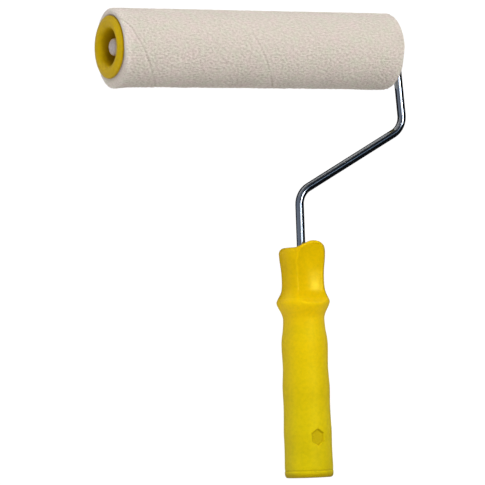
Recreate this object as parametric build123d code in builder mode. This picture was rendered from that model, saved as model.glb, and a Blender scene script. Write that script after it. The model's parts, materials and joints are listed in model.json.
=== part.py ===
from build123d import *
import os
from math import asin, atan2, cos, hypot, radians, sin, tan

# Paint roller with a fixed cover, lying on its side: +X runs along the roller from its free end
# to its wire end, +Y runs from the handle to the roller, and +Z is up, away from the surface.

# ---------------------------------------------------------------- driving dimensions, millimetres
COVER_LENGTH = 220.0
COVER_RADIUS = 27.0
PILE_END_GAP = 0.5
PILE_END_ROUNDING = 2.5

CORE_OUTER_RADIUS = 21.5
CORE_WALL = 1.5
CORE_INNER_RADIUS = CORE_OUTER_RADIUS - CORE_WALL

ROD_RADIUS = 3.0
ROD_END_CHAMFER = 0.6
AXLE_CORNER_X = 227.0
OUTER_CORNER = (230.9, -54.5)
LOWER_CORNER_DEPTH = -100.7
AXLE_BEND_RADIUS = 8.5
LOWER_BEND_RADIUS = 14.0
ROD_ANCHOR_DEPTH = -212.0
FLUKE_WIDTH = 9.6
FLUKE_THICKNESS = 3.0
FLUKE_LENGTH = 8.0
FLUKE_DEPTHS = (-196.0, -207.0)

HANDLE_X = 144.2
HANDLE_BUTT_DEPTH = -300.0
BUTT_RADIUS = 15.4
BEAD_RADIUS = 17.3
BEAD_HEIGHT = 4.4
HEAD_TOP = 160.6
LOBE_TOP = 165.8
LOBE_SIDE = 2.0
LOBE_HALF_WIDTH = 13.0
RIDGE_RADIUS = 18.8
RIDGE_HEIGHT = 122.6
REST_FLOOR = 10.7
REST_HOLLOW = 40.0
REST_FLARE_HEIGHT = 143.0
REST_FLARE_RADIUS = 52.0
REST_FOOT_HEIGHT = 135.4
REST_FOOT_RADIUS = 14.0
REST_FOOT_RISE = 10.0

SOCKET_RADIUS = 12.0
SOCKET_LENGTH = 60.0
SOCKET_LEAD_IN = 1.2
HEX_CORNER_RADIUS = 6.1
HEX_FLOOR = 15.2
HEX_HEIGHT = 28.1
HEX_SIDE = -1.0

FLANGE_RADIUS = 21.8
FLANGE_PROUD = 3.0
MOUTH_RADIUS = 12.8
MOUTH_ROUNDING = 1.8
CUP_WALL = 1.6
CUP_DEPTH = 13.0
WEB_THICKNESS = 1.8
SKIRT_WALL = 1.8
SKIRT_LENGTH = 15.0
HUB_RADIUS = 5.6
HUB_FACE = 6.7
HUB_END = 22.0
HUB_CLEARANCE = 0.06
RIB_COUNT = 6
RIB_THICKNESS = 1.5

WASHER_OUTER_RADIUS = 6.0
WASHER_THICKNESS = 1.0
WASHER_PLAY = 0.2
CAP_RADIUS = 6.0
CAP_HEIGHT = 5.0
CAP_SHEET = 0.7
AXLE_END_IN_CAP = 1.3
EAR_WIDTH = 9.6
EAR_THICKNESS = 2.6
EAR_LENGTH = 4.2

# ---------------------------------------------------------------- frame, worked out
# The cover and the rim of the handle's butt touch the surface, so the plane of the wire leans.
HANDLE_REACH = -HANDLE_BUTT_DEPTH
bead_reach = HANDLE_REACH - BEAD_HEIGHT
LEAN = asin(COVER_RADIUS / hypot(BEAD_RADIUS, bead_reach)) - atan2(BEAD_RADIUS, bead_reach)

outer_lean = atan2(OUTER_CORNER[0] - AXLE_CORNER_X, -OUTER_CORNER[1])
diagonal_fall = atan2(LOWER_CORNER_DEPTH - OUTER_CORNER[1], HANDLE_X - OUTER_CORNER[0])
outer_turn = radians(270.0) + outer_lean - (diagonal_fall + radians(360.0))
outer_tangent = LOWER_BEND_RADIUS * tan(abs(outer_turn) / 2)
bend_start_x = OUTER_CORNER[0] - outer_tangent * sin(outer_lean)
bend_centre_x = bend_start_x - LOWER_BEND_RADIUS * cos(outer_lean)
OUTERMOST_X = bend_centre_x + LOWER_BEND_RADIUS + ROD_RADIUS

FREE_END_X = -(OUTERMOST_X - FLANGE_PROUD) / 2
WIRE_END_X = FREE_END_X + COVER_LENGTH
NEAR_Y = HANDLE_REACH * cos(LEAN) + BUTT_RADIUS * sin(LEAN)
AXLE_Y = (NEAR_Y - COVER_RADIUS) / 2
AXLE_Z = COVER_RADIUS

along_handle = (0, cos(LEAN), sin(LEAN))
out_of_front = (0, -sin(LEAN), cos(LEAN))
roller_axis = Axis((FREE_END_X, AXLE_Y, AXLE_Z), (1, 0, 0))
roller_plane = Plane(origin=(FREE_END_X, AXLE_Y, AXLE_Z), x_dir=(1, 0, 0), z_dir=(0, 0, 1))
free_cross = Plane(origin=(FREE_END_X, AXLE_Y, AXLE_Z), x_dir=(0, 1, 0), z_dir=(1, 0, 0))
wire_cross = Plane(origin=(WIRE_END_X, AXLE_Y, AXLE_Z), x_dir=(0, 1, 0), z_dir=(-1, 0, 0))
wire_plane = Plane(origin=(FREE_END_X, AXLE_Y, AXLE_Z), x_dir=(1, 0, 0), z_dir=out_of_front)
butt_centre = wire_plane.from_local_coords((HANDLE_X, HANDLE_BUTT_DEPTH, 0))
handle_plane = Plane(origin=butt_centre, x_dir=(1, 0, 0), z_dir=along_handle)
handle_side = Plane(origin=butt_centre, x_dir=out_of_front, z_dir=(-1, 0, 0))
handle_half = Plane(origin=butt_centre, x_dir=(1, 0, 0), z_dir=out_of_front)
handle_axis = Axis(butt_centre, along_handle)

WASHER_OUTER_FACE = HUB_FACE - WASHER_PLAY - WASHER_THICKNESS
CAP_TOP = WASHER_OUTER_FACE - WASHER_PLAY - CAP_HEIGHT
AXLE_END_X = CAP_TOP + AXLE_END_IN_CAP
EAR_START = COVER_LENGTH - WASHER_OUTER_FACE + WASHER_PLAY

os.makedirs("parts", exist_ok=True)


# ---------------------------------------------------------------- sleeve: core, pile and caps
with BuildPart() as core_tube:
    with BuildSketch(free_cross):
        Circle(CORE_OUTER_RADIUS)
        Circle(CORE_INNER_RADIUS, mode=Mode.SUBTRACT)
    extrude(amount=COVER_LENGTH)
core_tube.part.label = "core_tube"

with BuildPart() as pile_cover:
    with BuildSketch(free_cross.offset(PILE_END_GAP)):
        Circle(COVER_RADIUS)
        Circle(CORE_OUTER_RADIUS, mode=Mode.SUBTRACT)
    extrude(amount=COVER_LENGTH - 2 * PILE_END_GAP)
    end_circles = pile_cover.edges().filter_by(GeomType.CIRCLE)
    outer_circles = end_circles.filter_by(lambda edge: edge.radius > CORE_OUTER_RADIUS + 1)
    fillet(outer_circles, radius=PILE_END_ROUNDING)
pile_cover.part.label = "pile_cover"


def make_end_cap(cross_plane, inward):
    """Bearing plug of one end: a domed flange, a deep cup and a hub that turns on the axle."""
    cap_plane = Plane(origin=cross_plane.origin, x_dir=(inward, 0, 0), z_dir=(0, 0, 1))
    cup_outer = MOUTH_RADIUS + CUP_WALL
    skirt_inner = CORE_INNER_RADIUS - SKIRT_WALL
    rim = inward * FLANGE_RADIUS
    with BuildPart() as cap:
        # One half section, from the flange's rim over the dome, down the cup, round the hub.
        with BuildSketch(cap_plane):
            with BuildLine():
                Polyline((0, skirt_inner * inward), (SKIRT_LENGTH, skirt_inner * inward))
                Polyline(
                    (SKIRT_LENGTH, skirt_inner * inward),
                    (SKIRT_LENGTH, (CORE_INNER_RADIUS - 0.4) * inward),
                    (SKIRT_LENGTH - 1.5, CORE_INNER_RADIUS * inward),
                    (0, CORE_INNER_RADIUS * inward),
                    (0, rim),
                    (-0.6, rim),
                )
                Spline(
                    (-0.6, rim),
                    (-1.75, (FLANGE_RADIUS - 1.3) * inward),
                    (-FLANGE_PROUD, (MOUTH_RADIUS + MOUTH_ROUNDING) * inward),
                    tangents=((-1, 0), (0, -inward)),
                )
                RadiusArc(
                    (-FLANGE_PROUD, (MOUTH_RADIUS + MOUTH_ROUNDING) * inward),
                    (-FLANGE_PROUD + MOUTH_ROUNDING, MOUTH_RADIUS * inward),
                    MOUTH_ROUNDING * inward,
                )
                Polyline(
                    (-FLANGE_PROUD + MOUTH_ROUNDING, MOUTH_RADIUS * inward),
                    (CUP_DEPTH, (MOUTH_RADIUS - 0.3) * inward),
                    (CUP_DEPTH, HUB_RADIUS * inward),
                    (HUB_FACE, HUB_RADIUS * inward),
                    (HUB_FACE, (ROD_RADIUS + HUB_CLEARANCE) * inward),
                    (HUB_END, (ROD_RADIUS + HUB_CLEARANCE) * inward),
                    (HUB_END, (HUB_RADIUS - 0.6) * inward),
                    (CUP_DEPTH + WEB_THICKNESS, HUB_RADIUS * inward),
                    (CUP_DEPTH + WEB_THICKNESS, cup_outer * inward),
                    (0, cup_outer * inward),
                    (0, skirt_inner * inward),
                )
            make_face()
        revolve(axis=roller_axis)
        # Ribs tie the cup to the skirt.
        with BuildSketch(cross_plane):
            with PolarLocations((cup_outer + skirt_inner) / 2, RIB_COUNT):
                Rectangle(skirt_inner - cup_outer + 1.0, RIB_THICKNESS)
        extrude(amount=CUP_DEPTH)
    return cap.part


end_cap_free = make_end_cap(free_cross, 1)
end_cap_free.label = "end_cap_free"
end_cap_rod = make_end_cap(wire_cross, -1)
end_cap_rod.label = "end_cap_rod"

# ---------------------------------------------------------------- frame: wire, washers, handle
with BuildPart() as rod:
    with BuildLine(wire_plane) as rod_line:
        FilletPolyline(
            (AXLE_END_X, 0),
            (AXLE_CORNER_X, 0),
            OUTER_CORNER,
            (HANDLE_X, LOWER_CORNER_DEPTH),
            (HANDLE_X, ROD_ANCHOR_DEPTH),
            radius=[AXLE_BEND_RADIUS, LOWER_BEND_RADIUS, LOWER_BEND_RADIUS],
        )
    with BuildSketch(free_cross.offset(AXLE_END_X)):
        Circle(ROD_RADIUS)
    sweep(path=rod_line.wire())
    tips = rod.edges().filter_by(GeomType.CIRCLE).filter_by(
        lambda edge: edge.center().X < FREE_END_X + AXLE_END_X + 1
        or edge.center().Y < wire_plane.from_local_coords((HANDLE_X, ROD_ANCHOR_DEPTH + 1, 0)).Y
    )
    chamfer(tips, length=ROD_END_CHAMFER)
    # Swaged ears beside the wire-side cap keep the sleeve from moving towards the bend.
    with BuildSketch(wire_plane.offset(-EAR_THICKNESS / 2)):
        with Locations((EAR_START + EAR_LENGTH / 2, 0)):
            SlotOverall(EAR_WIDTH, EAR_LENGTH, rotation=90)
    extrude(amount=EAR_THICKNESS)
    # Flattened flukes inside the handle stop the wire turning or pulling out.
    with BuildSketch(wire_plane.offset(-FLUKE_THICKNESS / 2)):
        with Locations(*[(HANDLE_X, depth) for depth in FLUKE_DEPTHS]):
            SlotOverall(FLUKE_WIDTH, FLUKE_LENGTH)
    extrude(amount=FLUKE_THICKNESS)
rod.part.label = "rod"


def make_washer(cross_plane):
    """Flat thrust washer between an end cap's hub and its stop on the axle."""
    with BuildPart() as washer:
        with BuildSketch(cross_plane.offset(WASHER_OUTER_FACE)):
            Circle(WASHER_OUTER_RADIUS)
            Circle(ROD_RADIUS + 0.1, mode=Mode.SUBTRACT)
        extrude(amount=WASHER_THICKNESS)
    return washer.part


washer_free = make_washer(free_cross)
washer_free.label = "thrust_washer_free"
washer_rod = make_washer(wire_cross)
washer_rod.label = "thrust_washer_rod"

with BuildPart() as retaining_cap:
    # A pressed dome whose inner teeth plate grips the end of the axle.
    cap_base = CAP_TOP + CAP_HEIGHT
    inner_dome = CAP_RADIUS - CAP_SHEET
    with BuildSketch(roller_plane):
        with BuildLine():
            Line((CAP_TOP, 0), (CAP_TOP + CAP_SHEET, 0))
            Spline(
                (CAP_TOP + CAP_SHEET, 0),
                (CAP_TOP + CAP_SHEET + 0.6, inner_dome * 0.62),
                (CAP_TOP + 2.9, inner_dome),
                tangents=((0, 1), (1, 0)),
            )
            Polyline(
                (CAP_TOP + 2.9, inner_dome),
                (cap_base - CAP_SHEET, inner_dome),
                (cap_base - CAP_SHEET, ROD_RADIUS),
                (cap_base, ROD_RADIUS),
                (cap_base, CAP_RADIUS),
                (CAP_TOP + 2.9, CAP_RADIUS),
            )
            Spline(
                (CAP_TOP + 2.9, CAP_RADIUS),
                (CAP_TOP + 0.7, CAP_RADIUS * 0.66),
                (CAP_TOP, 0),
                tangents=((-1, 0), (0, -1)),
            )
        make_face()
    revolve(axis=roller_axis)
retaining_cap.part.label = "retaining_cap"

with BuildPart() as handle:
    # Outer skin: bead at the butt, softly waved grip, neck, pointed collar, waist, head.
    with BuildSketch(handle_half):
        with BuildLine():
            Polyline((0, 0), (BUTT_RADIUS, 0), (BEAD_RADIUS - 0.4, BEAD_HEIGHT - 2.6))
            ThreePointArc(
                (BEAD_RADIUS - 0.4, BEAD_HEIGHT - 2.6),
                (BEAD_RADIUS, BEAD_HEIGHT),
                (BEAD_RADIUS - 0.4, BEAD_HEIGHT + 2.6),
            )
            Spline(
                (BEAD_RADIUS - 0.4, BEAD_HEIGHT + 2.6),
                (16.75, 15),
                (16.8, 30),
                (16.3, 50),
                (16.55, 63),
                (15.85, 78),
                (16.25, 91),
                (14.9, 104),
                (14.5, 110),
                (15.4, 115.0),
                (RIDGE_RADIUS - 0.4, RIDGE_HEIGHT - 1.6),
                tangents=((-0.15, 1), (1, 1.4)),
            )
            ThreePointArc(
                (RIDGE_RADIUS - 0.4, RIDGE_HEIGHT - 1.6),
                (RIDGE_RADIUS, RIDGE_HEIGHT),
                (RIDGE_RADIUS - 0.5, RIDGE_HEIGHT + 1.5),
            )
            Spline(
                (RIDGE_RADIUS - 0.5, RIDGE_HEIGHT + 1.5),
                (15.5, RIDGE_HEIGHT + 7.0),
                (14.8, 137.5),
                (15.4, 147),
                (16.3, 154.5),
                (15.9, LOBE_TOP - 3.4),
                tangents=((-1, 1.4), (-0.35, 1)),
            )
            ThreePointArc((15.9, LOBE_TOP - 3.4), (14.9, LOBE_TOP - 0.9), (12.6, LOBE_TOP))
            Polyline((12.6, LOBE_TOP), (0, LOBE_TOP), (0, 0))
        make_face()
    revolve(axis=handle_axis)
    # The head stands highest at the front, as the lip of the thumb rest.
    with BuildSketch(handle_side):
        with BuildLine():
            Polyline((6.0, LOBE_TOP + 5), (-24, LOBE_TOP + 5), (-24, HEAD_TOP), (6.0, HEAD_TOP))
            Spline(
                (6.0, HEAD_TOP),
                (9.5, HEAD_TOP + 0.75),
                (11.6, HEAD_TOP + 2.6),
                (13.2, LOBE_TOP),
                tangents=((1, 0), (1, 1.4)),
            )
            Polyline((13.2, LOBE_TOP), (13.2, LOBE_TOP + 5), (6.0, LOBE_TOP + 5))
        make_face()
    extrude(amount=RIDGE_RADIUS + 6, both=True, mode=Mode.SUBTRACT)
    # Seen from the front, the lip's top is an arch.
    with BuildSketch(handle_half):
        with BuildLine():
            ThreePointArc(
                (LOBE_SIDE - LOBE_HALF_WIDTH, HEAD_TOP),
                (LOBE_SIDE, LOBE_TOP),
                (LOBE_SIDE + LOBE_HALF_WIDTH, HEAD_TOP),
            )
            Polyline(
                (LOBE_SIDE + LOBE_HALF_WIDTH, HEAD_TOP),
                (RIDGE_RADIUS + 6, HEAD_TOP),
                (RIDGE_RADIUS + 6, LOBE_TOP + 5),
                (-RIDGE_RADIUS - 6, LOBE_TOP + 5),
                (-RIDGE_RADIUS - 6, HEAD_TOP),
                (LOBE_SIDE - LOBE_HALF_WIDTH, HEAD_TOP),
            )
        make_face()
    extrude(amount=RIDGE_RADIUS + 6, both=True, mode=Mode.SUBTRACT)
    # Thumb rest: a hollow up the front of the head, whose foot rises and cuts the collar. It is
    # what a turned form leaves whose axis stands in front of the handle.
    rest_axis_out = REST_FLOOR + REST_HOLLOW
    flare_top = LOBE_TOP + 2
    flare_run = flare_top - REST_FLARE_HEIGHT
    flare_rise = REST_FLARE_RADIUS - (REST_FLARE_RADIUS**2 - flare_run**2) ** 0.5
    foot_drop = (REST_FOOT_RADIUS**2 - (REST_FOOT_RADIUS - REST_FOOT_RISE) ** 2) ** 0.5
    with BuildSketch(handle_side):
        with BuildLine():
            Line((REST_FLOOR, REST_FOOT_HEIGHT), (REST_FLOOR, REST_FLARE_HEIGHT))
            RadiusArc(
                (REST_FLOOR, REST_FLARE_HEIGHT),
                (REST_FLOOR + flare_rise, flare_top),
                REST_FLARE_RADIUS,
            )
            Polyline(
                (REST_FLOOR + flare_rise, flare_top),
                (rest_axis_out, flare_top),
                (rest_axis_out, REST_FOOT_HEIGHT - foot_drop),
                (REST_FLOOR + REST_FOOT_RISE, REST_FOOT_HEIGHT - foot_drop),
            )
            RadiusArc(
                (REST_FLOOR + REST_FOOT_RISE, REST_FOOT_HEIGHT - foot_drop),
                (REST_FLOOR, REST_FOOT_HEIGHT),
                REST_FOOT_RADIUS,
            )
        make_face()
    rest_foot = butt_centre + Vector(*out_of_front) * rest_axis_out
    revolve(axis=Axis(rest_foot, along_handle), mode=Mode.SUBTRACT)
    # Blind socket for an extension pole.
    with BuildSketch(handle_plane):
        Circle(SOCKET_RADIUS)
    extrude(amount=SOCKET_LENGTH, mode=Mode.SUBTRACT)
    mouth = handle.edges().filter_by(GeomType.CIRCLE).filter_by(
        lambda edge: abs(edge.radius - SOCKET_RADIUS) < 0.01
    )
    chamfer(mouth.sort_by(handle_axis)[0], length=SOCKET_LEAD_IN)
    # Blank hexagonal recess low on the front.
    hex_centre = handle_plane.from_local_coords((HEX_SIDE, -HEX_FLOOR, HEX_HEIGHT))
    with BuildSketch(Plane(origin=hex_centre, x_dir=(1, 0, 0), z_dir=out_of_front)):
        RegularPolygon(radius=HEX_CORNER_RADIUS, side_count=6, rotation=90)
    extrude(amount=BEAD_RADIUS - HEX_FLOOR + 1, mode=Mode.SUBTRACT)
    # The grip is moulded round the wire, so the wire's own shape is its bore.
    add(rod.part, mode=Mode.SUBTRACT)
handle.part.label = "handle"

pieces = (
    core_tube.part,
    pile_cover.part,
    end_cap_free,
    end_cap_rod,
    rod.part,
    washer_free,
    washer_rod,
    retaining_cap.part,
    handle.part,
)
for piece in pieces:
    export_step(piece, f"parts/{piece.label}.step")
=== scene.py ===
"""Looks of the paint roller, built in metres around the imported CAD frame."""

import json
import math

import bpy
import numpy as np
from mathutils import Matrix, Vector


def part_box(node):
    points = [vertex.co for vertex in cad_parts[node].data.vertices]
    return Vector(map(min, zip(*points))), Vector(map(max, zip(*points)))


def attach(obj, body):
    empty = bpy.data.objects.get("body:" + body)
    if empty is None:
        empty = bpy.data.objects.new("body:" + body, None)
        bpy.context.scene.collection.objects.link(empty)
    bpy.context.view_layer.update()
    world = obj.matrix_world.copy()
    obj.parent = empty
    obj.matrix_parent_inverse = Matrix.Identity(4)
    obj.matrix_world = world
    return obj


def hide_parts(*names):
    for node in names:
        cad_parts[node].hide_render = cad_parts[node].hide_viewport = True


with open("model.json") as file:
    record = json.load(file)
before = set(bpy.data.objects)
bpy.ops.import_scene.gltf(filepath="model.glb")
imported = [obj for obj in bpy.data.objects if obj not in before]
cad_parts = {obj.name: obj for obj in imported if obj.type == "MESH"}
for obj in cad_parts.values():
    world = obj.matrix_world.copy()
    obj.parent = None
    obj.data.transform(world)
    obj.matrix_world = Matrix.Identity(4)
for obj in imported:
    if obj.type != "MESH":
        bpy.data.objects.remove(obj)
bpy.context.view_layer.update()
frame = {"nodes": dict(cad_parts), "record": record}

MM = 0.001
SEED = 7

# ------------------------------------------------------------------ places read from the frame
record = frame["record"]
mounts = {mount["name"]: mount for mount in record["mounts"]}
spin = record["behaviour"]["joints"][0]
ALONG = -Vector(mounts["pole_socket"]["axis"]).normalized()  # from the handle towards the roller
ACROSS = Vector((1, 0, 0))  # along the roller, towards the wire's side
FRONT = ACROSS.cross(ALONG)  # out of the thumb rest
core_low, core_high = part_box("core_tube")
AXLE = Vector(spin["pos_m"])
FREE_END = Vector((core_low.x, AXLE.y, AXLE.z))
WIRE_END = Vector((core_high.x, AXLE.y, AXLE.z))

# Sizes in millimetres, as in the CAD.
COVER_LENGTH = (core_high.x - core_low.x) / MM
COVER_RADIUS = (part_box("pile_cover")[1].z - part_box("pile_cover")[0].z) / MM / 2
CORE_RADIUS = (core_high.z - core_low.z) / MM / 2
ROD_RADIUS = 3.0
HANDLE_X, HANDLE_REACH = 144.2, 300.0
ROD_CORNERS = ((227.0, 0.0), (230.9, -54.5), (HANDLE_X, -100.7))
ROD_BENDS = (8.5, 14.0, 14.0)
ROD_START, ROD_END = (1.6, 0.0), (HANDLE_X, -212.0)
EAR_CENTRE, EAR_LENGTH = 216.8, 4.2
FLUKE_DEPTHS, FLUKE_LENGTH = (196.0, 207.0), 8.0
SWAGED_WIDER, SWAGED_THINNER, BEND_NARROWING = 1.8, 1.6, 0.03


def wire_point(x, depth):
    """A point of the wire's plane: x from the sleeve's free end, depth from the axle."""
    return FREE_END + MM * (x * ACROSS + depth * ALONG)


BUTT = wire_point(HANDLE_X, -HANDLE_REACH)


# ------------------------------------------------------------------ camera, floor and lights
CAMERA_YAW, CAMERA_PITCH, CAMERA_ROLL = (math.radians(angle) for angle in (28.52, 2.30, -2.02))
CAMERA_DISTANCE, CAMERA_LENS, CAMERA_SENSOR = 2.523, 269.5, 36.0
AIM = wire_point(97.6, -135.0)


def add_camera():
    """A long lens before the thumb rest, swung towards the free end and a little to the butt."""
    away = -FRONT
    look = math.sin(CAMERA_YAW) * math.cos(CAMERA_PITCH) * ACROSS
    look += math.cos(CAMERA_YAW) * math.cos(CAMERA_PITCH) * away + math.sin(CAMERA_PITCH) * ALONG
    side = math.cos(CAMERA_YAW) * ACROSS - math.sin(CAMERA_YAW) * away
    rise = side.cross(look)
    right = math.cos(CAMERA_ROLL) * side + math.sin(CAMERA_ROLL) * rise
    up = math.cos(CAMERA_ROLL) * rise - math.sin(CAMERA_ROLL) * side
    data = bpy.data.cameras.new("main_view")
    data.sensor_width, data.lens = CAMERA_SENSOR, CAMERA_LENS
    data.clip_start, data.clip_end = 0.1, 20.0
    camera = bpy.data.objects.new("main_view", data)
    bpy.context.collection.objects.link(camera)
    turn = Matrix((right, up, -look)).transposed()
    camera.matrix_world = Matrix.Translation(AIM - look * CAMERA_DISTANCE) @ turn.to_4x4()
    bpy.context.scene.camera = camera


# Name, place from the aim, width and radiance of the lights that light the surfaces.
SOFT_LIGHTS = (
    ("key_soft", (0.0, 0.95, 2.31), 1.6, 7.3),
    ("fill_low", (-1.3, -1.6, 1.4), 1.3, 1.5),
    ("fill_left", (-2.2, 0.2, 1.0), 1.2, 0.8),
)
# Name, place, sizes, radiance, shape and colour of the lights that only the gloss shows.
# They look straight down.
GLOSS_LIGHTS = (
    ("strip_gloss", (0.255, 0.06, 2.5), (2.03, 0.26), 1.8, "RECTANGLE", (1.0, 1.0, 1.0)),
    ("core_gloss", (0.74, 0.33, 2.52), (0.5, 0.45), 15.0, "ELLIPSE", (1.0, 1.0, 1.0)),
    ("wire_gloss", (1.2, 0.54, 2.5), (0.6, 0.6), 0.3, "ELLIPSE", (0.5, 0.74, 1.0)),
)
WORLD_GLOW = 0.28


def area_light(name, place, aim, size, radiance, shape="RECTANGLE", colour=(1.0, 1.0, 1.0)):
    """A light of even radiance that looks at a point and that the camera doesn't see."""
    data = bpy.data.lights.new(name, "AREA")
    data.shape, data.size, data.size_y = shape, size[0], size[1]
    area = size[0] * size[1] * (math.pi / 4 if shape == "ELLIPSE" else 1.0)
    data.energy = radiance * math.pi * area
    data.color = colour
    lamp = bpy.data.objects.new(name, data)
    lamp.location = place
    lamp.rotation_mode = "QUATERNION"
    lamp.rotation_quaternion = (aim - place).to_track_quat("-Z", "Y")
    lamp.visible_camera = False
    bpy.context.collection.objects.link(lamp)
    return lamp


def add_lights():
    """Soft lights for the surfaces, and others that show only as reflections."""
    for name, offset, width, radiance in SOFT_LIGHTS:
        lamp = area_light(name, AIM + Vector(offset), AIM, (width, width), radiance)
        lamp.visible_glossy = False
    for name, place, size, radiance, shape, colour in GLOSS_LIGHTS:
        below = Vector((place[0], place[1], 0))
        lamp = area_light(name, Vector(place), below, size, radiance, shape, colour)
        lamp.visible_diffuse = False


def add_world():
    """An even white glow that lights the surfaces and isn't reflected."""
    world = bpy.data.worlds.new("studio")
    world.use_nodes = True
    background = world.node_tree.nodes["Background"]
    background.inputs["Color"].default_value = (1, 1, 1, 1)
    background.inputs["Strength"].default_value = WORLD_GLOW
    world.cycles_visibility.glossy = False
    bpy.context.scene.world = world


FLOOR_GLOW, FLOOR_REACH, FLOOR_DROP = 1.0, 6.0, 0.0004
DOME_RADIUS, DOME_DROP = 5.0, 0.0002
# The dome's glow at its middle, how it changes towards +X and +Y, and its least value.
DOME_GLOW, DOME_TO_WIRE, DOME_TO_ROLLER, DOME_LEAST = 0.045, -0.19, 0.02, 0.006


def light_table(name):
    """A table top that glows white over a dark grey base, so that it hardly shows a shadow."""
    made = Nodes(name)
    grain = made.noise(6, 3)
    made.link(made.ramp(grain, [(0.3, srgb(58, 58, 58)), (0.7, srgb(64, 64, 64))]),
              made.shader.inputs["Base Color"])
    made.set(Roughness=0.9, Specular_IOR_Level=0.1, Emission_Strength=FLOOR_GLOW)
    made.shader.inputs["Emission Color"].default_value = (1, 1, 1, 1)
    return made.material


def dark_studio(name):
    """What the gloss sees round the roller: grey on the free end's side, near black beyond."""
    made = Nodes(name)
    split = made.add("ShaderNodeSeparateXYZ")
    unit = made.add("ShaderNodeVectorMath", operation="NORMALIZE")
    made.link(made.place, unit.inputs[0])
    made.link(unit.outputs[0], split.inputs[0])
    across = made.add("ShaderNodeMath", operation="MULTIPLY_ADD")
    made.link(split.outputs["X"], across.inputs[0])
    across.inputs[1].default_value, across.inputs[2].default_value = DOME_TO_WIRE, DOME_GLOW
    total = made.add("ShaderNodeMath", operation="MULTIPLY_ADD")
    made.link(split.outputs["Y"], total.inputs[0])
    total.inputs[1].default_value = DOME_TO_ROLLER
    made.link(across.outputs[0], total.inputs[2])
    least = made.add("ShaderNodeMath", operation="MAXIMUM")
    made.link(total.outputs[0], least.inputs[0])
    least.inputs[1].default_value = DOME_LEAST
    made.link(least.outputs[0], made.shader.inputs["Emission Strength"])
    made.shader.inputs["Emission Color"].default_value = (0.98, 1.0, 1.1, 1)
    made.shader.inputs["Base Color"].default_value = (0, 0, 0, 1)
    made.set(Roughness=1.0, Specular_IOR_Level=0.0)
    return made.material


def add_floor():
    reach = FLOOR_REACH
    corners = [(-reach, -reach, 0), (reach, -reach, 0), (reach, reach, 0), (-reach, reach, 0)]
    floor = mesh_piece("floor", np.array(corners), [[0, 1, 2, 3]], light_table("floor_white"))
    floor.location.z = -FLOOR_DROP


def add_dark_dome():
    """A closed dome round the set that only reflections see, in place of a dark room."""
    columns = 48
    turn = np.linspace(0, 2 * math.pi, columns, endpoint=False)
    rows = []
    for radius, height in ((0.001, 0), (DOME_RADIUS / 2, 0), *dome_wall()):
        rows.append(np.stack([radius * np.cos(turn), radius * np.sin(turn), height + 0 * turn], 1))
    dome = closed_grid("dark_dome", np.array(rows), dark_studio("dome_dark"))
    dome.location.z = -DOME_DROP
    dome.visible_camera = False
    dome.visible_diffuse = False
    dome.visible_transmission = False
    dome.visible_shadow = False


def dome_wall():
    """Radius and height up the dome, from the floor to just short of its top."""
    for lift in np.radians(np.linspace(0, 89.9, 16)):
        yield DOME_RADIUS * math.cos(lift), DOME_RADIUS * math.sin(lift)


# ------------------------------------------------------------------ mesh helpers
def smooth_curve(points, steps):
    """A Catmull-Rom curve through the points, with the given number of steps between each two."""
    knots = np.array([points[0], *points, points[-1]], float)
    knots[0] = 2 * knots[1] - knots[2]
    knots[-1] = 2 * knots[-2] - knots[-3]
    t = np.linspace(0, 1, steps, endpoint=False)[:, None]
    out = []
    for a, b, c, d in zip(knots, knots[1:], knots[2:], knots[3:]):
        out.append(0.5 * (2 * b + (c - a) * t + (2 * a - 5 * b + 4 * c - d) * t**2
                          + (3 * b - a - 3 * c + d) * t**3))
    out.append(knots[-2][None, :])
    return np.concatenate(out)


def arc(centre, radius, start, end, steps):
    """Points round a circle between two angles in degrees."""
    angle = np.radians(np.linspace(start, end, steps))
    return np.stack([centre[0] + radius * np.cos(angle), centre[1] + radius * np.sin(angle)], 1)


def mesh_piece(name, points, faces, material, shade=None):
    """A smooth mesh, with how much painted shade darkens each of its points."""
    mesh = bpy.data.meshes.new(name)
    mesh.from_pydata(points.tolist(), [], faces)
    mesh.materials.append(material)
    mesh.polygons.foreach_set("use_smooth", [True] * len(mesh.polygons))
    if shade is not None:
        painted_shade = mesh.attributes.new("shade", "FLOAT", "POINT")
        values = np.zeros(len(points))
        values[:shade.size] = shade.ravel()
        painted_shade.data.foreach_set("value", values)
    mesh.validate()
    piece = bpy.data.objects.new(name, mesh)
    bpy.context.collection.objects.link(piece)
    return piece


def grid_faces(rows, columns):
    """Quads between rows of points that each go once round."""
    index = np.arange(rows * columns).reshape(rows, columns)
    ahead = np.roll(index, -1, axis=1)
    quads = np.stack([index[:-1], ahead[:-1], ahead[1:], index[1:]], -1)
    return quads.reshape(-1, 4).tolist()


def closed_grid(name, rows, material, shade=None):
    """A closed skin from rings of points, shape (rows, columns, 3), closed by a point at each end."""
    count, columns = rows.shape[:2]
    ends = np.stack([rows[0].mean(0), rows[-1].mean(0)])
    points = np.concatenate([rows.reshape(-1, 3), ends])
    faces = grid_faces(count, columns)
    low, high = count * columns, count * columns + 1
    last = (count - 1) * columns
    for k in range(columns):
        after = (k + 1) % columns
        faces.append([low, after, k])
        faces.append([high, last + k, last + after])
    return mesh_piece(name, points, faces, material, shade)


def around(origin, axis, side, other, axial, radius, angle):
    """Points in metres, from millimetres along an axis and out from it at an angle from a side."""
    out = (radius * np.cos(angle))[..., None] * np.array(side)
    out = out + (radius * np.sin(angle))[..., None] * np.array(other)
    return np.array(origin) + MM * (axial[..., None] * np.array(axis) + out)


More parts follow.
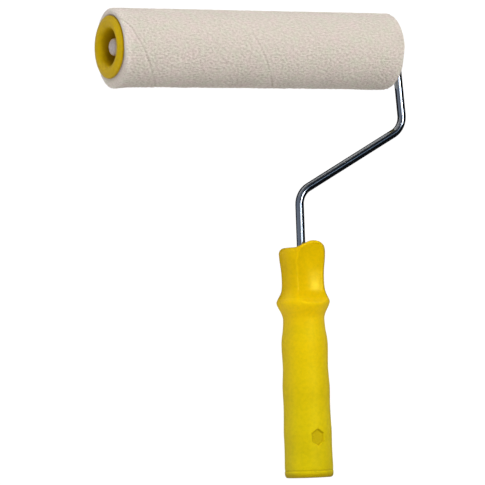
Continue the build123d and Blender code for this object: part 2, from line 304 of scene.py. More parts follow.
def closed_ring(name, points, material, shade=None):
    """A ring-shaped skin from a closed outline's points, shape (outline, columns, 3)."""
    index = np.arange(points.shape[0] * points.shape[1]).reshape(points.shape[:2])
    ahead, below = np.roll(index, -1, axis=1), np.roll(index, -1, axis=0)
    faces = np.stack([index, ahead, np.roll(below, -1, axis=1), below], -1)
    return mesh_piece(name, points.reshape(-1, 3), faces.reshape(-1, 4).tolist(), material, shade)


def lathe(name, outline, origin, axis, material, columns, shade=None):
    """Turns a closed outline, axial distance and radius in millimetres, round an axis."""
    outline = np.array(outline)
    axial, radius = outline.T
    if np.sum(axial * np.roll(radius, -1) - np.roll(axial, -1) * radius) > 0:
        # Run the other way round, so that the faces look outwards.
        outline = outline[::-1]
        shade = None if shade is None else shade[::-1]
    side = Vector((0, 1, 0))
    angle = np.linspace(0, 2 * math.pi, columns, endpoint=False)
    grid = outline[:, :, None] + np.zeros(columns)
    points = around(origin, axis, side, axis.cross(side), grid[:, 0], grid[:, 1], angle)
    if shade is not None:
        shade = shade[:, None] + np.zeros(columns)
    return closed_ring(name, points, material, shade)


def smoothstep(low, high, value):
    """0 at low and 1 at high, eased at both ends."""
    t = np.clip((value - low) / (high - low), 0, 1)
    return t * t * (3 - 2 * t)


def soft_min(a, b, blend):
    """The smaller of two lengths, rounded where they cross."""
    h = np.clip(0.5 + 0.5 * (b - a) / blend, 0, 1)
    return b + (a - b) * h - blend * h * (1 - h)


def lattice_noise(u, v, size, seed, wrap):
    """Smooth noise, -1 to 1, from a seeded grid. It repeats in u after wrap cells."""
    random = np.random.default_rng(seed)
    table = random.random((size, size)) * 2 - 1
    iu, iv = np.floor(u).astype(int), np.floor(v).astype(int)
    fu, fv = u - iu, v - iv
    fu, fv = fu * fu * (3 - 2 * fu), fv * fv * (3 - 2 * fv)

    def at(i, j):
        return table[(i % wrap) % size, j % size]

    top = at(iu, iv) * (1 - fu) + at(iu + 1, iv) * fu
    low = at(iu, iv + 1) * (1 - fu) + at(iu + 1, iv + 1) * fu
    return top * (1 - fv) + low * fv


# ------------------------------------------------------------------ materials
def srgb(red, green, blue):
    """A display colour, 0 to 255, as the linear colour that a shader takes."""
    def linear(value):
        value /= 255
        return value / 12.92 if value <= 0.04045 else ((value + 0.055) / 1.055) ** 2.4
    return (linear(red), linear(green), linear(blue), 1.0)


class Nodes:
    """Short calls for building one material's node tree."""

    def __init__(self, name):
        self.material = bpy.data.materials.new(name)
        self.material.use_nodes = True
        self.tree = self.material.node_tree
        self.shader = self.tree.nodes["Principled BSDF"]
        self.place = self.add("ShaderNodeTexCoord").outputs["Object"]

    def add(self, kind, **values):
        node = self.tree.nodes.new(kind)
        for key, value in values.items():
            setattr(node, key, value)
        return node

    def link(self, source, target):
        self.tree.links.new(source, target)

    def set(self, **values):
        for key, value in values.items():
            self.shader.inputs[key.replace("_", " ")].default_value = value

    def stretch(self, scale, turn=(0, 0, 0)):
        node = self.add("ShaderNodeMapping")
        node.inputs["Scale"].default_value = scale
        node.inputs["Rotation"].default_value = turn
        self.link(self.place, node.inputs["Vector"])
        return node.outputs["Vector"]

    def noise(self, scale, detail=3.0, rough=0.5, vector=None):
        node = self.add("ShaderNodeTexNoise")
        node.inputs["Scale"].default_value = scale
        node.inputs["Detail"].default_value = detail
        node.inputs["Roughness"].default_value = rough
        self.link(vector or self.place, node.inputs["Vector"])
        return node.outputs["Fac"]

    def ramp(self, value, stops):
        """Colours along a 0 to 1 value."""
        node = self.add("ShaderNodeValToRGB")
        ramp = node.color_ramp
        while len(ramp.elements) < len(stops):
            ramp.elements.new(0.5)
        for element, (place, colour) in zip(ramp.elements, stops):
            element.position, element.color = place, colour
        self.link(value, node.inputs["Fac"])
        return node.outputs["Color"]

    def grey(self, value, low, high):
        """Turns a 0 to 1 value into low to high."""
        node = self.add("ShaderNodeMapRange")
        node.inputs["To Min"].default_value = low
        node.inputs["To Max"].default_value = high
        self.link(value, node.inputs["Value"])
        return node.outputs["Result"]

    def mix(self, factor, a, b, blend="MIX"):
        node = self.add("ShaderNodeMix", data_type="RGBA", blend_type=blend)
        for socket, value in ((node.inputs[0], factor), (node.inputs[6], a), (node.inputs[7], b)):
            if hasattr(value, "is_output"):
                self.link(value, socket)
            else:
                socket.default_value = value
        return node.outputs[2]

    def bump(self, height, strength, distance, normal=None):
        node = self.add("ShaderNodeBump")
        node.inputs["Strength"].default_value = strength
        node.inputs["Distance"].default_value = distance
        self.link(height, node.inputs["Height"])
        if normal:
            self.link(normal, node.inputs["Normal"])
        return node.outputs["Normal"]

    def axis(self, letter):
        """One of the object's own coordinates, in metres."""
        node = self.add("ShaderNodeSeparateXYZ")
        self.link(self.place, node.inputs[0])
        return node.outputs[letter]

    def span(self, value, low, high):
        """Turns low to high into 0 to 1, eased at both ends."""
        node = self.add("ShaderNodeMapRange", interpolation_type="SMOOTHSTEP")
        node.inputs["From Min"].default_value = low
        node.inputs["From Max"].default_value = high
        self.link(value, node.inputs["Value"])
        return node.outputs["Result"]

    def blend(self, factor, a, b):
        """A value part of the way from a to the number b."""
        node = self.add("ShaderNodeMix", data_type="FLOAT")
        self.link(factor, node.inputs[0])
        self.link(a, node.inputs[2])
        node.inputs[3].default_value = b
        return node.outputs[0]

    def shade(self):
        """How much painted shade the mesh itself gives a point."""
        return self.add("ShaderNodeAttribute", attribute_name="shade").outputs["Fac"]

    def edges(self):
        """Near 1 on convex edges and near 0.5 on flat stretches."""
        return self.add("ShaderNodeNewGeometry").outputs["Pointiness"]


# Colour up the handle, from the butt at 0 to the head at 1 on an eased scale: partly the plastic's own
# tone, partly painted light and shade, as in the brighter band round the collar.
HANDLE_TONES_AND_PAINTED_LIGHT = [
    (0.0, srgb(210, 189, 6)), (0.33, srgb(214, 187, 4)), (0.58, srgb(224, 192, 3)),
    (0.64, srgb(223, 191, 3)), (0.69, srgb(221, 190, 3)), (0.745, srgb(225, 190, 3)),
    (0.79, srgb(231, 191, 3)), (0.84, srgb(238, 199, 3)), (0.89, srgb(223, 184, 2))]
# Between these heights above the butt, in millimetres, the handle turns to this roughness.
HANDLE_POLISH = (116.0, 128.0, 0.23)
CAP_TONE = srgb(208, 172, 2)
WHITE = (1, 1, 1, 1)


def plastic(name, tones, worn, roughness, polish=None):
    """Moulded polypropylene: cloudy pigment, a colour along the part that is partly its own and partly
    painted light and shade, painted shade from the mesh, orange peel, rubbed edges.
    """
    made = Nodes(name)
    low, high = BUTT.y, BUTT.y + HEAD_TOP * MM
    cloud = made.noise(30, 4, 0.6)
    height = made.span(made.axis("Y"), low, high)
    # Colour along the part: on the handle partly its own tone and partly painted light and shade.
    hue_and_painted_light = made.ramp(height, tones)
    shade = made.ramp(cloud, [(0.25, srgb(240, 238, 226)), (0.6, WHITE)])
    fleck = made.ramp(made.noise(420, 3, 0.6), [(0.3, srgb(242, 244, 232)), (0.6, WHITE)])
    shade = made.mix(1.0, shade, fleck, "MULTIPLY")
    # Painted shade that the mesh gives: in the recess, the groove over the bead, the butt's edge, the
    # flange's edge and inside the cup.
    painted_shade = made.ramp(made.shade(), [(0.0, WHITE), (1.0, (0.58, 0.48, 0.2, 1))])
    colour = made.mix(1.0, made.mix(1.0, hue_and_painted_light, shade, "MULTIPLY"), painted_shade, "MULTIPLY")
    rub = made.ramp(made.edges(), [(0.56, (0, 0, 0, 1)), (0.66, (0.6, 0.6, 0.6, 1))])
    made.link(made.mix(rub, colour, worn), made.shader.inputs["Base Color"])
    gloss = made.grey(made.noise(260, 3, 0.6), *roughness)
    if polish:
        smooth = made.span(made.axis("Y"), low + polish[0] * MM, low + polish[1] * MM)
        gloss = made.blend(smooth, gloss, polish[2])
    made.link(gloss, made.shader.inputs["Roughness"])
    peel = made.noise(900, 2, 0.5)
    scuff = made.noise(1.0, 4, 0.65, made.stretch((420, 90, 420), (0.05, 0.1, 0.5)))
    fine = made.bump(peel, 0.08, 0.0003)
    made.link(made.bump(scuff, 0.05, 0.0004, fine), made.shader.inputs["Normal"])
    made.set(IOR=1.49, Subsurface_Weight=0.08, Subsurface_Scale=0.004)
    made.set(Subsurface_Radius=(1.0, 0.6, 0.1), Specular_Tint=(1.0, 0.9, 0.12, 1.0))
    return made.material


def plated_steel(name):
    """Bright plated wire, with faint drawing lines, handling marks and cloudy patches."""
    made = Nodes(name)
    cloud = made.noise(60, 4, 0.6)
    made.link(made.ramp(cloud, [(0.3, srgb(178, 192, 210)), (0.7, srgb(206, 218, 232))]),
              made.shader.inputs["Base Color"])
    spots = made.noise(900, 3, 0.7)
    made.link(made.grey(spots, 0.07, 0.16), made.shader.inputs["Roughness"])
    lines = made.noise(1.0, 3, 0.6, made.stretch((1500, 180, 1500)))
    made.link(made.bump(lines, 0.03, 0.0002), made.shader.inputs["Normal"])
    made.set(Metallic=1.0)
    return made.material


def zinc(name):
    """Zinc-plated pressing: pale and slightly warm, with crystal mottling."""
    made = Nodes(name)
    flakes = made.add("ShaderNodeTexVoronoi")
    flakes.inputs["Scale"].default_value = 900
    made.link(made.place, flakes.inputs["Vector"])
    crystal = [(0.0, srgb(206, 194, 192)), (1.0, srgb(234, 224, 222))]
    made.link(made.ramp(flakes.outputs["Color"], crystal), made.shader.inputs["Base Color"])
    made.link(made.grey(made.noise(700), 0.28, 0.42), made.shader.inputs["Roughness"])
    made.link(made.bump(made.noise(1400, 2), 0.12, 0.0002), made.shader.inputs["Normal"])
    made.set(Metallic=0.45)
    return made.material


def nylon(name):
    """Natural nylon: milky, faintly mottled, with a soft gloss."""
    made = Nodes(name)
    made.link(made.ramp(made.noise(300), [(0.3, srgb(222, 218, 206)), (0.7, srgb(238, 236, 228))]),
              made.shader.inputs["Base Color"])
    made.link(made.grey(made.noise(500), 0.38, 0.55), made.shader.inputs["Roughness"])
    made.link(made.bump(made.noise(1600, 2), 0.1, 0.0002), made.shader.inputs["Normal"])
    made.set(Subsurface_Weight=0.1, Subsurface_Scale=0.002)
    return made.material


def core_board(name):
    """Core tube: matt and greyish, with faint rings round it."""
    made = Nodes(name)
    rings = made.noise(1.0, 3, 0.6, made.stretch((600, 60, 60)))
    made.link(made.ramp(rings, [(0.3, srgb(164, 154, 138)), (0.7, srgb(186, 176, 160))]),
              made.shader.inputs["Base Color"])
    made.link(made.grey(rings, 0.55, 0.7), made.shader.inputs["Roughness"])
    made.link(made.bump(rings, 0.2, 0.0003), made.shader.inputs["Normal"])
    return made.material


def pile_fabric(name):
    """Short dense pile: mottled tips, painted shade in the hollows between tufts, and a soft sheen at
    grazing angles.
    """
    made = Nodes(name)
    patches = made.noise(110, 5, 0.65)
    tips = made.noise(1500, 2, 0.7)
    strands = made.noise(980, 3, 0.7)
    warm = made.ramp(patches, [(0.3, srgb(248, 232, 226)), (0.5, srgb(244, 234, 223)),
                               (0.7, srgb(239, 236, 219))])
    # Painted shade: darker where the pile's surface is hollow, between the tufts.
    root = made.ramp(made.edges(), [(0.44, srgb(196, 186, 174)), (0.52, WHITE)])
    speck = made.ramp(tips, [(0.3, srgb(232, 229, 222)), (0.55, WHITE)])
    tone = made.mix(1.0, made.mix(1.0, warm, root, "MULTIPLY"), speck, "MULTIPLY")
    made.link(tone, made.shader.inputs["Base Color"])
    coarse = made.bump(strands, 1.0, 0.0011)
    made.link(made.bump(tips, 0.9, 0.0008, coarse), made.shader.inputs["Normal"])
    made.set(Roughness=0.95, Specular_IOR_Level=0.15, Sheen_Weight=0.25, Sheen_Roughness=0.55)
    made.set(Sheen_Tint=srgb(226, 230, 236))
    return made.material


# ------------------------------------------------------------------ handle
HEAD_TOP, LIP_RISE, LIP_TURN = 160.9, 4.5, math.radians(11.0)
LIP_WIDTHS = (math.radians(66.0), math.radians(60.0))
TOP_DISH, TOP_MOUTH, WIRE_GAP = 0.3, 4.2, 0.04
SOCKET_RADIUS, SOCKET_LENGTH, SOCKET_CORNER, SOCKET_LEAD_IN = 12.0, 60.0, 0.8, 1.2
REST_FLOOR, REST_HOLLOW = 9.9, 40.0
REST_FLARE_HEIGHT, REST_FLARE_RADIUS = 143.0, 52.0
REST_FOOT_HEIGHT, REST_FOOT_RADIUS = 131.0, 9.4
REST_SLOPE_HEIGHT, REST_SLOPE_RADIUS, REST_SLOPE_REACH = 141.0, 100.0, 25.0
REST_EDGE, REST_FOOT_EDGE, FAR_OUT = 0.8, 5.0, 40.0
HEAD_SHIFT = 0.45
HEX_APOTHEM, HEX_FLOOR, HEX_HEIGHT, HEX_SIDE, HEX_NARROWING = 5.3, 15.0, 28.1, -1.1, 1.13
MOULD_LINE, MOULD_LINE_WIDTH = 0.10, 0.16
HEAD_START = 131.0
SIDE_ROUNDING, LIP_ROUNDING = 4.2, 1.6

# Height and radius of the butt's flat rim and the start of its rounded edge.
RIM_OUTLINE = ((0.0, 14.2), (0.0, 15.3), (0.18, 15.85), (0.5, 16.2))
# Height above the butt and radius, from the bead through grip, neck and collar to the head.
GRIP_OUTLINE = (
    (1.0, 16.6), (2.2, 16.95), (3.9, 17.05), (4.4, 16.95), (4.8, 16.75), (5.2, 16.75), (5.8, 16.9),
    (8.5, 16.95), (15, 16.75), (24, 16.7), (32, 16.8), (42, 16.45),
    (51, 16.3), (63, 16.55), (71, 16.1), (78, 15.85), (91, 16.25), (97.5, 15.9), (103, 15.0),
    (110, 14.5), (113, 14.85), (116, 16.0), (118.5, 17.3), (120.4, 18.2), (121.7, 18.6),
)
COLLAR_OUTLINE = (
    (122.6, 18.7), (123.5, 18.5), (124.9, 17.9), (127, 16.8), (129, 15.9), (131.5, 15.2), (136, 14.85),
    (142, 14.9), (147, 15.3), (152, 15.9), (156, 16.2), (160, 16.25), (167, 16.1),
)


def body_radius(height):
    """The handle's turned outline, before the thumb rest and the recess are taken out of it."""
    outline = np.concatenate([smooth_curve(GRIP_OUTLINE, 12), smooth_curve(COLLAR_OUTLINE, 12)])
    return np.interp(height, outline[:, 0], outline[:, 1])


def rest_rise(height):
    """How far the thumb rest's floor comes forward, towards its flared lip and its foot."""
    flare = np.clip(height - REST_FLARE_HEIGHT, 0, REST_FLARE_RADIUS)
    foot = np.clip(REST_FOOT_HEIGHT - height, 0, REST_FOOT_RADIUS)
    slope = np.clip(REST_SLOPE_HEIGHT - height, 0, REST_SLOPE_REACH)
    rise = REST_FLARE_RADIUS - np.sqrt(REST_FLARE_RADIUS**2 - flare**2)
    rise = rise + slope**2 / (2 * REST_SLOPE_RADIUS)
    return rise + REST_FOOT_RADIUS - np.sqrt(REST_FOOT_RADIUS**2 - foot**2)


def recess_share(angle, height, radius):
    """1 on the floor of the blank six-sided recess, 0 outside it."""
    side = (radius * np.sin(angle) - HEX_SIDE) * HEX_NARROWING
    slant = np.abs(side) * 0.5 + np.abs(height - HEX_HEIGHT) * math.sqrt(0.75)
    hexagon = np.maximum(np.abs(side), slant) - HEX_APOTHEM
    return (1 - smoothstep(-0.7, 0.15, hexagon)) * (np.cos(angle) > 0.5)


def skin_radius(angle, height):
    """Radius of the finished skin at an angle from the front, with the rest and the recess."""
    radius = body_radius(height)
    axis_out = REST_FLOOR + REST_HOLLOW
    reach = axis_out * np.cos(angle)
    inside = reach**2 - axis_out**2 + (REST_HOLLOW - rest_rise(height)) ** 2
    rest = np.where((inside > 0) & (reach > 0), reach - np.sqrt(np.maximum(inside, 0)), FAR_OUT)
    blend = REST_EDGE + (REST_FOOT_EDGE - REST_EDGE) * (1 - smoothstep(124, 134, height))
    radius = soft_min(radius, np.minimum(rest, FAR_OUT), blend)
    radius = radius + HEAD_SHIFT * np.sin(angle) * smoothstep(122, 132, height)
    mask = recess_share(angle, height, radius)
    floor = HEX_FLOOR / np.maximum(np.cos(angle), 0.5)
    radius = radius + (floor - radius) * mask
    # The mould's parting line runs up both sides.
    seam = np.minimum(np.abs(np.abs(angle) - math.pi / 2), 0.1) * radius
    return radius + MOULD_LINE * np.exp(-((seam / MOULD_LINE_WIDTH) ** 2))


def lip_share(angle):
    """1 at the middle of the lip that stands up over the thumb rest, 0 beyond its ends."""
    away = angle - LIP_TURN
    width = np.where(away < 0, LIP_WIDTHS[0], LIP_WIDTHS[1])
    return 0.5 + 0.5 * np.cos(math.pi * np.clip(away / width, -1, 1))


def handle_columns():
    """Angles round the handle, closest together over the thumb rest, recess and parting lines."""
    fine = np.array([-0.9, -0.55, -0.25, 0, 0.25, 0.55, 0.9])
    half = np.concatenate([
        np.arange(0, 24, 0.9), np.arange(24, 60, 1.2), np.arange(60, 88.5, 2.4),
        90.0 + fine, np.arange(92.5, 178.9, 2.4)])
    return np.radians(np.concatenate([-half[:0:-1], half, [180.0]]))


def socket_rings(ring):
    """From the middle of the socket's floor to its chamfered mouth, then the flat rim."""
    for radius in (0.6, 3, 6, 9, 11):
        ring(SOCKET_LENGTH, radius)
    corner = SOCKET_RADIUS - SOCKET_CORNER
    for height, radius in arc((SOCKET_LENGTH - SOCKET_CORNER, corner), SOCKET_CORNER, 0, 90, 5):
        ring(height, radius)
    for height in np.linspace(SOCKET_LENGTH - 4, SOCKET_LEAD_IN + 0.6, 24):
        ring(height, SOCKET_RADIUS)
    ring(SOCKET_LEAD_IN, SOCKET_RADIUS + 0.02)
    ring(0.15, SOCKET_RADIUS + SOCKET_LEAD_IN - 0.1)
    ring(0.0, SOCKET_RADIUS + SOCKET_LEAD_IN + 0.15)
    for height, radius in RIM_OUTLINE:
        ring(height, radius)


def grip_rings(ring, angle):
    """The outer skin up to the head, with most rings at the bead, the recess and the collar."""
    steps = np.concatenate([
        np.arange(1.0, 6.4, 0.2), np.arange(6.4, 21, 1.2), np.arange(21, 35.2, 0.35),
        np.arange(36, 110, 1.4), np.arange(110, 119, 0.6), np.arange(119, HEAD_START, 0.3)])
    for height in steps:
        ring(height, skin_radius(angle, height * np.ones_like(angle)))


def head_rings(ring, angle):
    """The head, its rounded top edge and its dished top, down to the wire."""
    share = lip_share(angle)
    lip = HEAD_TOP + LIP_RISE * share
    rounding = SIDE_ROUNDING + (LIP_ROUNDING - SIDE_ROUNDING) * smoothstep(0.0, 0.35, share)
    for part in np.linspace(0, 1, 60):
        height = HEAD_START + (lip - rounding - HEAD_START) * part
        ring(height, skin_radius(angle, height))
    edge = skin_radius(angle, lip - rounding)
    for bend in np.radians(np.linspace(10, 90, 9)):
        ring(lip - rounding * (1 - math.sin(bend)), edge - rounding * (1 - math.cos(bend)))
    inner = edge - rounding
    for part in np.linspace(0.08, 1, 18):
        hollow = TOP_DISH * math.sin(math.pi * part)
        fall = smoothstep(0.0, 0.4, part)
        ring(lip + (HEAD_TOP - lip) * fall - hollow, inner + (TOP_MOUTH - inner) * part)
    ring(HEAD_TOP - 0.1, 3.7)
    ring(HEAD_TOP - 0.45, 3.25)
    ring(HEAD_TOP - 1.0, ROD_RADIUS + WIRE_GAP)
    ring(HEAD_TOP - 5.0, ROD_RADIUS + WIRE_GAP)


def handle_shade(angle, height, radius):
    """Painted shade in the recess, in the groove over the bead and round the butt's edge."""
    outside = radius > SOCKET_RADIUS + 1
    shade = 0.45 * recess_share(angle, height, radius) * outside
    shade = shade + 0.5 * np.exp(-(((height - 4.95) / 0.35) ** 2)) * outside
    return shade + 0.7 * (1 - smoothstep(1.5, 4.2, height)) * outside


def add_handle(material):
    """The grip, as one closed skin of rings from the socket's floor to the hole for the wire."""
    angle = handle_columns()[None, :]
    heights, radii = [], []

    def ring(height, radius):
        heights.append(height * np.ones_like(angle))
        radii.append(radius * np.ones_like(angle))

    socket_rings(ring)
    grip_rings(ring, angle)
    head_rings(ring, angle)
    height, radius = np.concatenate(heights), np.concatenate(radii)
    points = around(BUTT, ALONG, FRONT, ACROSS, height, radius, angle)
    shade = handle_shade(angle, height, radius)
    piece = closed_grid("handle_grip", points, material, shade)
    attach(piece, "frame")
    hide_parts("handle")


# ------------------------------------------------------------------ wire
def rod_route():
    """The wire's centre line in its plane, straight runs joined by tangent arcs, and its bending."""
    start, end = np.array(ROD_START), np.array(ROD_END)
    stops = [start, *map(np.array, ROD_CORNERS), end]
    line, bend = [start], [0.0]

    def straight(goal):
        begin = line[-1]
        count = max(2, int(np.linalg.norm(goal - begin) / 1.1))
        line.extend(begin + (goal - begin) * np.linspace(0, 1, count + 1)[1:, None])
        bend.extend([0.0] * count)

    for k, radius in enumerate(ROD_BENDS, start=1):
        before = (stops[k - 1] - stops[k]) / np.linalg.norm(stops[k - 1] - stops[k])
        after = (stops[k + 1] - stops[k]) / np.linalg.norm(stops[k + 1] - stops[k])
        half = math.acos(np.dot(before, after)) / 2
        tangent = radius / math.tan(half)
        middle = (before + after) / np.linalg.norm(before + after)
        centre = stops[k] + middle * radius / math.sin(half)
        first = stops[k] + before * tangent - centre
        last = stops[k] + after * tangent - centre
        straight(centre + first)
        turn = math.acos(np.clip(np.dot(first, last) / radius**2, -1, 1))
        for t in np.linspace(0, 1, 26)[1:]:
            swung = first * math.sin((1 - t) * turn) + last * math.sin(t * turn)
            line.append(centre + swung / math.sin(turn))
            bend.append(math.sin(math.pi * min(t, 0.999)) ** 0.5)
    straight(end)
    return np.array(line), np.array(bend)


def pinched(distance, centre, length):
    """1 in the middle of a swaged stretch of the wire, 0 away from it."""
    return np.clip(1 - (np.abs(distance - centre) / (length / 2)) ** 2, 0, 1) ** 0.5


def add_rod(material):
    """A round section swept along the route, ovalled in its bends and swaged at ears and flukes."""
    line, bend = rod_route()
    heading = np.gradient(line, axis=0)
    heading /= np.linalg.norm(heading, axis=1)[:, None]
    across = np.stack([-heading[:, 1], heading[:, 0]], 1)
    axle = line[:, 1] > -0.01
    flat = axle * pinched(line[:, 0], EAR_CENTRE, EAR_LENGTH)
    inside = line[:, 0] < HANDLE_X + 1
    for depth in FLUKE_DEPTHS:
        flat = flat + inside * pinched(-line[:, 1], depth, FLUKE_LENGTH)
    wide = ROD_RADIUS * (1 - BEND_NARROWING * bend) + SWAGED_WIDER * flat
    thick = ROD_RADIUS * (1 + BEND_NARROWING / 2 * bend) - SWAGED_THINNER * flat
    for row in (0, -1):
        wide[row], thick[row] = 0.8 * ROD_RADIUS, 0.8 * ROD_RADIUS
    angle = np.linspace(0, 2 * math.pi, 48, endpoint=False)
    plane = line[:, None, :] + (wide[:, None] * np.cos(angle))[..., None] * across[:, None, :]
    out = thick[:, None] * np.sin(angle)
    points = np.array(FREE_END) + MM * (plane[..., :1] * np.array(ACROSS)
                                        + plane[..., 1:] * np.array(ALONG)
                                        + out[..., None] * np.array(FRONT))
    piece = closed_grid("rod_wire", points, material)
    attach(piece, "frame")
    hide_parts("rod")


# ------------------------------------------------------------------ sleeve
FLANGE_RADIUS, FLANGE_PROUD, WIRE_SIDE_PROUD = 21.8, 3.0, 1.8
MOUTH_RADIUS, MOUTH_ROUNDING = 12.6, 4.2
CUP_DEPTH, CUP_WALL = 13.0, 1.6
HUB_FACE, HUB_RADIUS, HUB_END = 6.7, 5.6, 22.0
SKIRT_LENGTH, SKIRT_OUTER, SKIRT_INNER = 15.0, 20.0, 18.2
WASHER_FACE, WASHER_THICKNESS = 5.5, 1.0
CAP_TOP, CAP_HEIGHT = 0.3, 5.0


def cap_outline(proud):
    """Half section of an end cap: distance inwards from the core's end, and radius."""
    lip = MOUTH_RADIUS + MOUTH_ROUNDING
    flat = proud / FLANGE_PROUD
    dome = smooth_curve([
        (-0.5 * flat, FLANGE_RADIUS), (-1.05 * flat, FLANGE_RADIUS - 0.25),
        (-1.6 * flat, FLANGE_RADIUS - 1.0), (-2.15 * flat, FLANGE_RADIUS - 2.5),
        (-2.85 * flat, lip + 1.2), (-proud, lip + 0.2)], 6)
    mouth = arc((-proud + MOUTH_ROUNDING, lip), MOUTH_ROUNDING, 180, 270, 9)
    wall = [(depth, MOUTH_RADIUS - 0.06 * depth) for depth in (2.0, 4.0, 7.0, CUP_DEPTH - 2.0)]
    floor = arc((CUP_DEPTH - 1.2, MOUTH_RADIUS - 2.0), 1.2, 90, 0, 5)
    root = arc((CUP_DEPTH - 0.8, HUB_RADIUS + 0.8), 0.8, 0, -90, 4)
    hub = [(HUB_FACE + 0.4, HUB_RADIUS), (HUB_FACE, HUB_RADIUS - 0.4), (HUB_FACE, 3.3),
           (HUB_FACE + 0.3, 3.06), (HUB_END, 3.06), (HUB_END, 5.0)]
    web, cup = CUP_DEPTH + 1.8, MOUTH_RADIUS + CUP_WALL
    rear = [(web, HUB_RADIUS), (web, cup), (0.8, cup), (0.8, SKIRT_INNER),
            (SKIRT_LENGTH, SKIRT_INNER), (SKIRT_LENGTH, SKIRT_OUTER - 0.4),
            (SKIRT_LENGTH - 1.5, SKIRT_OUTER), (0.0, SKIRT_OUTER), (0.0, FLANGE_RADIUS - 0.3),
            (-0.15, FLANGE_RADIUS)]
    return [*dome.tolist(), *mouth.tolist(), *wall, *floor.tolist(), *root.tolist(), *hub, *rear]


def add_end_cap(name, node, origin, inward, proud, material):
    """A bearing plug: a rounded flange, a cup with a hub in it, and a skirt inside the core."""
    outline = cap_outline(proud)
    depth, radius = np.array(outline).T
    # Painted shade at the flange's edge, where it meets the pile, and down inside the cup.
    shade = smoothstep(FLANGE_RADIUS - 0.9, FLANGE_RADIUS, radius) * 0.7
    inside = radius < MOUTH_RADIUS + MOUTH_ROUNDING
    shade = shade + 0.7 * smoothstep(-2.2, 5.0, depth) * inside
    piece = lathe(name, outline, origin, inward, material, columns=160, shade=shade)
    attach(piece, "sleeve")
    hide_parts(node)


def add_retaining_cap(material):
    """A push-on cap over the axle's end: a domed shell with a flat ring inside."""
    top, base = CAP_TOP, CAP_TOP + CAP_HEIGHT
    dome = smooth_curve([
        (base, 6.0), (top + 2.9, 5.98), (top + 1.5, 5.3), (top + 0.5, 3.7), (top + 0.04, 1.6),
        (top, 0.05)], 6)
    inside = [(top + 0.7, 0.05), (top + 0.9, 2.2), (top + 1.7, 4.4), (top + 2.9, 5.3),
              (base - 0.7, 5.3), (base - 0.7, 3.0), (base, 3.0)]
    outline = [*dome.tolist(), *inside]
    piece = lathe("retaining_cap_dome", outline, FREE_END, ACROSS, material, columns=64)
    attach(piece, "frame")
    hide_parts("retaining_cap")


def add_washer(name, node, origin, inward, material):
    """A flat washer between a cap's hub and what stops it on the wire."""
    near, far = WASHER_FACE, WASHER_FACE + WASHER_THICKNESS
    outline = [(near, 3.1), (near, 5.8), (near + 0.15, 6.0), (far - 0.15, 6.0), (far, 5.8), (far, 3.1)]
    piece = lathe(name, outline, origin, inward, material, columns=64)
    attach(piece, "frame")
    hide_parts(node)


SEAM_PITCH, SEAM_START, SEAM_WANDER = 92.0, -0.140, 0.5
SEAM_WIDTH, SEAM_DEPTH, SEAM_DEEPER = 0.6, 0.6, 0.35
CLUMP_HEIGHT, TUFT_HEIGHT, WAVE_HEIGHT, PILE_WORN_DOWN = 0.06, 0.20, 0.10, 0.2
PILE_TRIM, PILE_LEAN = 0.4, 0.8
PILE_GAP, PILE_SPLAY = 0.5, 1.5
PILE_COLUMNS, PILE_ROWS = 380, 236
CORNER_STEPS = 12


def pile_noise(x, turn, cells, length, size, draw):
    """Noise on the pile, with a number of cells round it and a cell's length along it."""
    return lattice_noise(turn * cells, x / length, size, SEED + draw, cells)


def seam_depth(x, angle):
    """The strip's spiral seam: deepest near the free end, combed over towards the wire's end."""
    turn = angle / (2 * math.pi)
    wander = SEAM_WANDER * pile_noise(x, turn, 12, 7.0, 43, 4)
    strip = ((x + wander) / SEAM_PITCH - turn - SEAM_START) % 1.0
    away = np.minimum(strip, 1 - strip) * SEAM_PITCH
    patchy = 0.5 + 0.5 * smoothstep(-0.5, 0.5, pile_noise(x, turn, 14, 6.0, 31, 3))
    combed = 1 - 0.85 * smoothstep(110, 190, x)
    near_end = 1 - smoothstep(45, 70, x)
    high_end = 0.5 * near_end
    lifted = 1 - 0.9 * smoothstep(high_end, high_end + 0.4, np.cos(angle))
    depth = (SEAM_DEPTH + SEAM_DEEPER * near_end) * lifted * combed * patchy
    return depth * np.exp(-((away / SEAM_WIDTH) ** 2))


def pile_field(x, angle):
    """How far the pile's tips stand proud at x from the free end: sag, seam, tufts and waves."""
    turn = angle / (2 * math.pi)
    clumps = pile_noise(x, turn, 84, 2.0, 97, 0)
    tufts = pile_noise(x, turn, 190, 0.93, 211, 1)
    broad = pile_noise(x, turn, 14, 12.0, 41, 2)
    under = (0.5 - 0.5 * np.cos(angle)) ** 2
    sag = under * (0.3 + 0.45 * smoothstep(185, 215, x))
    worn = smoothstep(0.1, -0.5, np.cos(angle))
    grain = (1 + 0.7 * worn) * (CLUMP_HEIGHT * clumps + TUFT_HEIGHT * tufts)
    return sag - PILE_WORN_DOWN - seam_depth(x, angle) + grain + WAVE_HEIGHT * broad


def pile_corner(angle, end):
    """Rounding and flare of the pile's end, uneven round it as the cut fibres lean and wear."""
    down = 0.5 - 0.5 * np.cos(angle)  # 1 on the handle's side
    under = np.maximum(-np.sin(angle), 0)  # 1 where the pile meets the table
    if end == "free":
        return 2.4 + 0.4 * down + 3.8 * under**2, 1.3 * down**4
    return 0.9 + 2.7 * smoothstep(0.45, 0.75, down), 0.0 * down


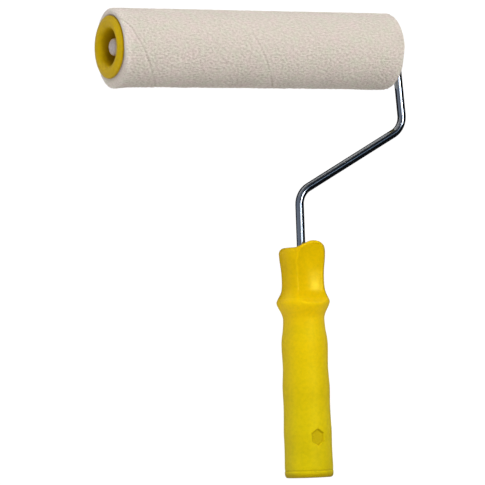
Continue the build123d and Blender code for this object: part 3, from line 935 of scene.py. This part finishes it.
def add_pile(material):
    """One closed skin: the cut face and corner at each end, and the long tufted cylinder."""
    angle = np.linspace(0, 2 * math.pi, PILE_COLUMNS, endpoint=False)[None, :]
    length = COVER_LENGTH - 2 * PILE_GAP - PILE_TRIM
    length = length + PILE_LEAN * smoothstep(0.6, 0.8, 0.5 - 0.5 * np.cos(angle))
    corners = {end: pile_corner(angle, end) for end in ("free", "wire")}
    splay = PILE_SPLAY * (0.25 + 0.75 * smoothstep(-0.5, 0.2, np.sin(angle)))
    splay = splay * (1 - smoothstep(0.5, 0.9, 0.5 - 0.5 * np.cos(angle)))
    rows = []

    def ring(x, radius, nap):
        rows.append((x + 0 * angle, radius + nap * pile_field(x + PILE_GAP, angle)))

    def end_ring(end, bend):
        rounding, flare = corners[end]
        inset = rounding * (1 - math.cos(bend))
        x = inset - splay * math.cos(bend) if end == "free" else length - inset
        radius = COVER_RADIUS + flare * (1 - math.cos(bend) ** 2)
        ring(x, radius - rounding * (1 - math.sin(bend)), 0.8 + 0.2 * math.sin(bend))

    bends = np.radians(np.linspace(0, 90, CORNER_STEPS))
    low, high = corners["free"][0], length - corners["wire"][0]
    for outward in (0.0, 0.3, 0.7, 1.1, 1.5):
        ring(0.15 - splay * outward / 1.6, CORE_RADIUS + outward, 0.4 * outward)
    for bend in bends:
        end_ring("free", bend)
    for part in np.linspace(0, 1, PILE_ROWS)[1:-1]:
        flare = corners["free"][1] * np.exp(-part * 22)
        ring(low + (high - low) * part, COVER_RADIUS + flare, 1.0)
    for bend in bends[::-1]:
        end_ring("wire", bend)
    for radius in (CORE_RADIUS + 1.6, CORE_RADIUS + 0.8, CORE_RADIUS):
        ring(length - 0.15, radius, 0.0)
    x = np.concatenate([row[0] for row in rows]) + PILE_GAP
    radius = np.concatenate([row[1] for row in rows])
    side, other = Vector((0, 1, 0)), Vector((0, 0, 1))
    points = around(FREE_END, ACROSS, side, other, x, radius, angle)
    piece = closed_ring("pile_nap", points, material)
    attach(piece, "sleeve")
    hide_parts("pile_cover")


def dress_core(material):
    """The core is the CAD's own tube, with a material."""
    core = frame["nodes"]["core_tube"]
    core.data.materials.clear()
    core.data.materials.append(material)


# ------------------------------------------------------------------ the scene
add_camera()
handle_yellow = plastic("handle_yellow", HANDLE_TONES_AND_PAINTED_LIGHT,
                        srgb(234, 206, 30), (0.42, 0.55), HANDLE_POLISH)
cap_yellow = plastic("cap_yellow", [(0.0, CAP_TONE), (1.0, CAP_TONE)],
                     srgb(214, 182, 20), (0.3, 0.42))
wire_bright = plated_steel("wire_bright")
add_handle(handle_yellow)
add_rod(wire_bright)
add_end_cap("end_cap_free_side", "end_cap_free", FREE_END, ACROSS, FLANGE_PROUD, cap_yellow)
add_end_cap("end_cap_wire_side", "end_cap_rod", WIRE_END, -ACROSS, WIRE_SIDE_PROUD, cap_yellow)
add_retaining_cap(zinc("retaining_zinc"))
washer_white = nylon("washer_nylon_white")
add_washer("washer_free_side", "thrust_washer_free", FREE_END, ACROSS, washer_white)
add_washer("washer_wire_side", "thrust_washer_rod", WIRE_END, -ACROSS, washer_white)
add_pile(pile_fabric("pile_cream"))

dress_core(core_board("core_grey"))

add_floor()
add_dark_dome()
add_world()
add_lights()
bpy.context.scene.view_settings.view_transform = "Standard"
